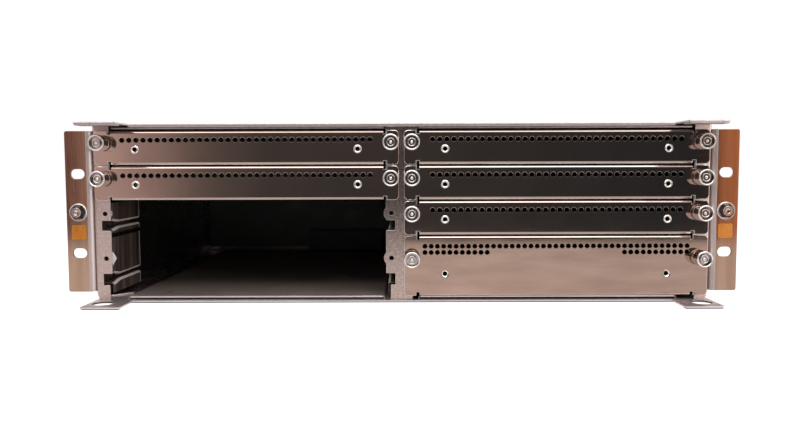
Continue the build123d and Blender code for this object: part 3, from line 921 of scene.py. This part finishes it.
def side_wall(side, name):
    """Side wall: notched post, rounded corners, wall and flanges."""
    shape = Shape(WALL_METAL)
    front_corner(shape, side)
    shape.finish = SHELL_METAL
    rear_corner(shape, side)
    wall_and_flanges(shape, side)
    shape.build(f"{name}_wall_sheet", "shell_sheet", f"{name}_side_wall")


def centre_post():
    """Notched strip between the columns."""
    low, high = node_box("centre_post")
    right = notched_edge(high.x, -1, CENTRE_FOOT, low.z, POST_LOBE)
    left = notched_edge(low.x, 1, CENTRE_FOOT, low.z, POST_LOBE)
    outline = [(low.x, high.z, 0)] + left + right[::-1] + [(high.x, high.z, 0)]
    loops = [round_corners(outline)]
    loops += [circle(way * CENTRE_SCREW_X, row.screw, THREAD_HOLE) for row in ROWS for way in (-1, 1)]
    shape = Shape(POST_METAL)
    # Painted highlight on the post's outline rim.
    plate(shape, loops, standing(0), rims=(LIGHT_METAL_AND_RIM_HIGHLIGHT, None))
    shape.build("centre_post_sheet", "shell_sheet", "centre_post")


def post_nuts():
    """Clinch nuts behind the thread holes of the posts."""
    shape = Shape(LIGHT_METAL_AND_RIM_HIGHLIGHT)
    for row in ROWS:
        for side in (-1, 1):
            wall_nut = WALL_NUT if row.tall else CENTRE_NUT
            turned(shape, wall_nut, facing(BACK, side * WALL_SCREW_X, SHEET, row.screw))
            turned(shape, CENTRE_NUT, facing(BACK, side * CENTRE_SCREW_X, SHEET, row.screw))
    shape.build("post_clinch_nuts", "shell_sheet")


def rear_wall():
    """Rear closure with its air slots."""
    low, high = node_box("rear_wall")
    loops = [round_corners(rectangle(low.x, low.z, high.x, high.z, PLATE_CORNER))]
    for column in (-1, 1):
        for step in (-1, 0, 1):
            loops.append(slot_hole(column * HALF_WIDTH / 2 + step * REAR_SLOT_PITCH, 0, *REAR_SLOT))
    shape = Shape(SHELL_METAL)
    # Painted highlight on the wall's outline rim, and painted shade on its inner face.
    plate(shape, loops, lambda u, v, w: (u, high.y - w, v), rims=(LIGHT_METAL_AND_RIM_HIGHLIGHT, None), back_finish=SHADED_INNER_METAL)
    shape.build("rear_wall_sheet", "shell_sheet", "rear_wall")


# Cover, floor and liners

def hem_profile(front, top):
    """Front edge folded back under itself and pressed flat."""
    seam, under, nose = front + SHEET, top - 2 * SHEET, HEM_NOSE
    back = seam + HEM_WIDTH
    points = arc((front + nose, top - nose), nose, 90, 180, HEM_STEPS)
    points += arc((front + nose, under + nose), nose, 180, 270, HEM_STEPS)
    return [(seam, top)] + points + [(back, under), (back, top - SHEET - HEM_GAP), (seam, top - SHEET)]


def top_cover():
    """Top plate, hemmed in front and at its tabs."""
    low, high = node_box("top_cover")
    middle = HALF_WIDTH - TAB_WIDTH
    lip, tab = SHEET - FRONT_LIP, low.y + SHEET
    outline = [(-HALF_WIDTH, tab, 0), (-middle, tab, 0), (-middle, lip, 0), (middle, lip, 0),
               (middle, tab, 0), (HALF_WIDTH, tab, 0), (HALF_WIDTH, high.y, PLATE_CORNER),
               (-HALF_WIDTH, high.y, PLATE_CORNER)]
    slope = HEM_MITRE / (2 * SHEET)

    def along(p, x):
        return x, p[0], p[1]

    # The plate is in painted shade with painted highlights on its rims; the ends of the tab hems take a
    # painted highlight.
    shape = Shape(SHADED_COVER_METAL)
    plate(shape, [round_corners(outline)], lying(high.z), is_open=along_seam(1, lip, tab),
          rims=(LIP_HIGHLIGHT_METAL, None))
    shape.finish = SATIN_METAL
    prism(shape, hem_profile(-FRONT_LIP, high.z), -middle, middle, along, open_last=True)
    for side in (-1, 1):
        prism(shape, hem_profile(low.y, high.z), lambda p: side * (middle + (high.z - p[1]) * slope),
              lambda p: side * (HALF_WIDTH - (high.z - p[1]) * slope), along, open_last=True,
              end_finish=LIP_HIGHLIGHT_METAL)
    shape.build("top_cover_sheet", "shell_sheet", "top_cover")


def key_slot(column):
    """Keying slot of a column, in its floor and in the base plate."""
    low, high = node_box(f"{column}_panel_1")
    return slot_hole((low.x + high.x) / 2 - KEY_SLOT_OFFSET, KEY_SLOT_BACK, *KEY_SLOT)


def base_plate():
    """Floor with a holed tab at each front corner and a keying slot in each column."""
    low, high = node_box("base_plate")
    middle = HALF_WIDTH - TAB_WIDTH
    outline = [(-HALF_WIDTH, low.y, TAB_CORNER), (-middle, low.y, TAB_CORNER),
               (-middle, -FRONT_LIP, PLATE_CORNER), (middle, -FRONT_LIP, PLATE_CORNER),
               (middle, low.y, TAB_CORNER), (HALF_WIDTH, low.y, TAB_CORNER),
               (HALF_WIDTH, high.y, PLATE_CORNER), (-HALF_WIDTH, high.y, PLATE_CORNER)]
    hole_x = HALF_WIDTH - TAB_HOLE_INSET
    loops = [round_corners(outline)]
    loops += [circle(way * hole_x, -TAB_HOLE_REACH, TAB_HOLE, TURNED_SIDES) for way in (-1, 1)]
    loops += [key_slot(column) for column in ("left", "right")]
    shape = Shape(SATIN_METAL)
    # Painted highlight on the plate's outline rim and painted shade in its holes.
    plate(shape, loops, lying(high.z), rims=(LIGHT_METAL_AND_RIM_HIGHLIGHT, PAINTED_SHADE_METAL))
    shape.build("base_plate_sheet", "shell_sheet", "base_plate")


def floor_liner(name):
    """Raised floor of a column, folded down into two legs."""
    low, high = node_box(f"{name}_floor_liner")
    seams = (low.x + LINER_FOLD, high.x - LINER_FOLD)
    outline = round_corners(rectangle(seams[0], low.y, seams[1], high.y))
    shape = Shape(SHADED_FLOOR_METAL)
    # Painted shade on the liner and in its slot, and a painted highlight on its outline rim.
    plate(shape, [outline, key_slot(name)], lying(high.z), is_open=along_seam(0, *seams),
          rims=(LIGHT_METAL_AND_RIM_HIGHLIGHT, PAINTED_SHADE_METAL))
    for way, edge in ((-1, low.x), (1, high.x)):
        centre = (edge - way * LINER_FOLD, high.z - LINER_FOLD)
        profile = arc(centre, LINER_FOLD, 90, 90 - way * 90) + [(edge, low.z), (edge - way * SHEET, low.z)]
        profile += arc(centre, LINER_FOLD - SHEET, 90 - way * 90, 90)
        prism(shape, profile, low.y, high.y, lambda p, y: (p[0], y, p[1]), open_last=True)
    shape.build(f"{name}_floor_sheet", "shell_sheet", f"{name}_floor_liner")


def ceiling_liner(name):
    """Inner ceiling of a column, in painted shade with a painted highlight on its rim."""
    low, high = node_box(f"{name}_ceiling_liner")
    outline = round_corners(rectangle(low.x, low.y, high.x, high.y, PLATE_CORNER))
    shape = Shape(SHADED_INNER_METAL)
    plate(shape, [outline], lying(high.z), rims=(SATIN_METAL, None))
    shape.build(f"{name}_ceiling_sheet", "shell_sheet", f"{name}_ceiling_liner")


def shell_fasteners():
    """Rivets of the cover, floor and rear wall, and the screws of the ears."""
    cover_top, floor_bottom = node_box("top_cover")[1].z, node_box("base_plate")[0].z
    rear = node_box("rear_wall")[1].y
    rivets, screws = Shape(BRIGHT_METAL), Shape(BRIGHT_METAL)
    for x in (SEAM_INSET - HALF_WIDTH, 0, HALF_WIDTH - SEAM_INSET):
        for y in SEAM_DEPTHS:
            turned(rivets, RIVET, facing(TOP, x, y, cover_top), RIVET_SIDES)
            turned(rivets, FLUSH_RIVET, facing(UNDERSIDE, x, y, floor_bottom), RIVET_SIDES)
    for side in (-1, 1):
        for way in (-1, 0, 1):
            place = facing(BACK, side * (HALF_WIDTH - REAR_RIVET_INSET), rear, way * REAR_RIVET_RISE)
            turned(rivets, RIVET, place, RIVET_SIDES)
            for depth in EAR_SCREW_DEPTHS:
                ear_face = side * (HALF_WIDTH + EAR_SHEET)
                turned(screws, EAR_SCREW, facing((0, side), ear_face, depth, way * EAR_SCREW_RISE))
    rivets.build("shell_rivets", "bright_hardware")
    screws.build("ear_screws", "bright_hardware")


# Card guides

def guide_section(half, top, bottom):
    """Hat section with rounded lips: points are (distance from the wall, height)."""
    outer, inner = half + GUIDE_SHEET, GUIDE_DEPTH - GUIDE_SHEET
    fold = LIP_FOLD - GUIDE_SHEET
    return round_corners([
        (GUIDE_DEPTH, top, 0), (GUIDE_DEPTH, half, LIP_FOLD), (GUIDE_SHEET, half, GUIDE_CORNER),
        (GUIDE_SHEET, -half, GUIDE_CORNER), (GUIDE_DEPTH, -half, LIP_FOLD), (GUIDE_DEPTH, bottom, 0),
        (inner, bottom, 0), (inner, -outer, fold), (0, -outer, fold), (0, outer, fold), (inner, outer, fold),
        (inner, top, 0)])


def guide_stations(front, back, mouth):
    """Depths along a guide, each with half the height of its channel there."""
    throat = GUIDE_CHANNEL / 2
    stations = []
    for step in range(MOUTH_STEPS + 1):
        share = step / MOUTH_STEPS
        eased = share * share * (3 - 2 * share)
        stations.append((front + GUIDE_MOUTH * share, mouth + (throat - mouth) * eased))
    return stations + [(back - GUIDE_SHEET, throat), (back, throat)]


def guide(node):
    """Folded guide with a flared mouth and painted highlights on its lips, in front of its wall."""
    low, high = node_box(node)
    row = node_row(node)
    inward = -1 if ("wall" in node) == node.startswith("right") else 1
    wall = high.x if inward < 0 else low.x
    stations = guide_stations(low.y, high.y, row.notch / 2 - GUIDE_SHEET)
    sections = [guide_section(half, high.z - row.channel, low.z - row.channel) for y, half in stations]
    shape = Shape(GUIDE_METAL)
    rings = [[shape.point((wall + inward * d, y, row.channel + z)) for d, z in section]
             for section, (y, half) in zip(sections, stations)]
    for section, (y, half), a, b in zip(sections, stations, rings, rings[1:]):
        for i, (d, z) in enumerate(section):
            j = (i + 1) % len(section)
            # Lip faces near the channel and at the back end take a painted highlight.
            lip = min(d, section[j][0]) > GUIDE_DEPTH - LIP_FOLD - SAME_PLACE
            near = max(abs(z), abs(section[j][1])) < half + LIP_FOLD + SAME_PLACE
            bright = lip and (near or y > high.y - 2 * GUIDE_SHEET)
            shape.finish = LIP_HIGHLIGHT_METAL if bright else GUIDE_METAL
            shape.face((a[i], a[j], b[j], b[i]))
    shape.finish = GUIDE_METAL
    for end in (0, -1):
        shape.cap([sections[end]], [rings[end]])
    shape.build(f"{node}_strip", "guide_sheet", node)


# Pieces that keep their CAD form

def dress(material, *nodes):
    """Give CAD nodes a finish."""
    for node in nodes:
        materials = frame["nodes"][node].data.materials
        materials.clear()
        materials.append(material)


# Stage

def stage_sheet(name, corners, material):
    """Flat sheet of the stage, which isn't part of the cage."""
    mesh = bpy.data.meshes.new(name)
    mesh.from_pydata(corners, [], [(0, 1, 2, 3)])
    mesh.materials.append(material)
    piece = bpy.data.objects.new(name, mesh)
    bpy.context.scene.collection.objects.link(piece)
    return piece


def outside(graph, middle, half, front, back):
    """0 under the cage and 1 beside it, for a strip on both sides of X = 0."""
    place = graph.position()
    from_middle = graph.math("SUBTRACT", graph.math("ABSOLUTE", place["X"]), middle)
    widest = graph.math("SUBTRACT", graph.math("ABSOLUTE", from_middle), half)
    for gap in ((front, place["Y"]), (place["Y"], back)):
        widest = graph.math("MAXIMUM", widest, graph.math("SUBTRACT", *gap))
    return graph.map_range(widest, (-CONTACT_SOFT, 0.0))


def floor():
    """Pale floor that stays white to the camera and keeps a soft shadow. Its glow is cut under the cage and
    its tabs, a painted contact shadow, and reflections see it dimmer, more so towards the right: a painted
    reflection.
    """
    material, graph, shader = new_material("floor_white")
    shader["Base Color"].default_value = FLOOR_TONE
    shader["Roughness"].default_value = FLOOR_ROUGHNESS
    shader["Specular IOR Level"].default_value = 0.0
    shader["Emission Color"].default_value = WHITE
    seen = graph.seen_rays(graph.map_range(graph.position()["X"], MIRRORED_PLACES, MIRRORED_SHARES))
    half_tab = TAB_WIDTH / 2 * MM
    tab_x = HALF_WIDTH * MM - half_tab
    front, back = cad_box[0][1], cad_box[1][1]
    beside_body = outside(graph, 0.0, HALF_WIDTH * MM, -FRONT_LIP * MM, back)
    beside_tabs = outside(graph, tab_x, half_tab, front, front + TAB_CONTACT)
    # No glow under the cage and its tabs: painted contact shadow.
    clear = graph.math("MINIMUM", beside_body, beside_tabs)
    glow = graph.math("MULTIPLY", graph.math("MULTIPLY", seen, clear), FLOOR_GLOW)
    graph.feed(shader["Emission Strength"], glow)
    reach = FLOOR_REACH
    stage_sheet("floor", [(-reach, -reach, FLOOR_Z), (reach, -reach, FLOOR_Z), (reach, reach, FLOOR_Z),
                          (-reach, reach, FLOOR_Z)], material)


def reflection_card():
    """What the bright sheet mirrors, and nothing else sees: a glowing card of painted reflections, dim in
    the middle and warmer towards both sides.
    """
    reach = CARD_REACH
    material = bpy.data.materials.new("painted_reflection_glow")
    graph = Graph(material)
    graph.nodes.remove(graph.nodes["Principled BSDF"])
    share = graph.map_range(graph.position()["X"], (-reach, reach))
    positions = [(x + reach) / (2 * reach) for x, tone in PAINTED_REFLECTION_TONES]
    tones = graph.ramp(share, positions, [tone for x, tone in PAINTED_REFLECTION_TONES])
    glow = graph.add("ShaderNodeEmission", [("Color", tones)])
    graph.feed(graph.nodes["Material Output"].inputs["Surface"], glow.outputs["Emission"])
    card = stage_sheet("reflection_card", [(-reach, CARD_Y, FLOOR_Z), (reach, CARD_Y, FLOOR_Z),
                                     (reach, CARD_Y, CARD_TOP), (-reach, CARD_Y, CARD_TOP)], material)
    card.visible_camera = False
    card.visible_shadow = False
    card.visible_diffuse = False


def world():
    """White surround for the camera and for reflections, softer as a light."""
    surround = bpy.data.worlds.new("studio")
    bpy.context.scene.world = surround
    graph = Graph(surround)
    background = graph.nodes["Background"].inputs
    background["Color"].default_value = WHITE
    strength = graph.map_range(graph.seen_rays(), (0.0, 1.0), (WORLD_LIGHT, WORLD_SEEN))
    graph.feed(background["Strength"], strength)


def lamp(name, place, size, power):
    """Softbox aimed at the origin."""
    light = bpy.data.lights.new(name, "AREA")
    light.shape = "RECTANGLE"
    light.size, light.size_y = size
    light.energy = power
    piece = bpy.data.objects.new(name, light)
    piece.visible_camera = False
    piece.location = place
    piece.rotation_euler = (-Vector(place)).to_track_quat("-Z", "Y").to_euler()
    bpy.context.scene.collection.objects.link(piece)


def camera():
    """Camera low in front of the cage, looking slightly down."""
    forward = Vector((math.sin(CAMERA_YAW) * math.cos(CAMERA_PITCH),
                      math.cos(CAMERA_YAW) * math.cos(CAMERA_PITCH), -math.sin(CAMERA_PITCH)))
    level = Vector((math.cos(CAMERA_YAW), -math.sin(CAMERA_YAW), 0))
    upright = level.cross(forward)
    right = math.cos(CAMERA_ROLL) * level + math.sin(CAMERA_ROLL) * upright
    up = right.cross(forward)
    lens = bpy.data.cameras.new("camera")
    lens.lens = CAMERA_LENS
    lens.sensor_width = CAMERA_SENSOR
    lens.clip_start = CAMERA_NEAR
    piece = bpy.data.objects.new("camera", lens)
    basis = Matrix((right, up, -forward)).transposed().to_4x4()
    basis.translation = CAMERA_PLACE
    piece.matrix_world = basis
    bpy.context.scene.collection.objects.link(piece)
    bpy.context.scene.camera = piece


# The whole scene

for node in PANELS:
    panel(node)
panel_fasteners()
for side, name in SIDES:
    ear(side, name)
    jack(side, name)
    patch(side, name)
shell_fasteners()
for side, name in SIDES:
    side_wall(side, name)
for name in ("left", "right"):
    floor_liner(name)
    ceiling_liner(name)
rear_wall()
centre_post()
post_nuts()
top_cover()
base_plate()
for node in sorted(node for node in frame["nodes"] if "_guide_" in node):
    guide(node)
# The divider inside the cage takes painted shade.
dress(SHADED_INNER_METAL, "centre_divider")
dress(BRIGHT_METAL, "backplane_standoffs")
dress(BOARD_GREEN, "backplane")
dress(SOCKET_PLASTIC, *(node for node in frame["nodes"] if "_connector_" in node))
floor()
reflection_card()
world()
for name, place, size, power in LAMPS:
    lamp(name, place, size, power)
camera()
bpy.context.scene.view_settings.view_transform = "Standard"
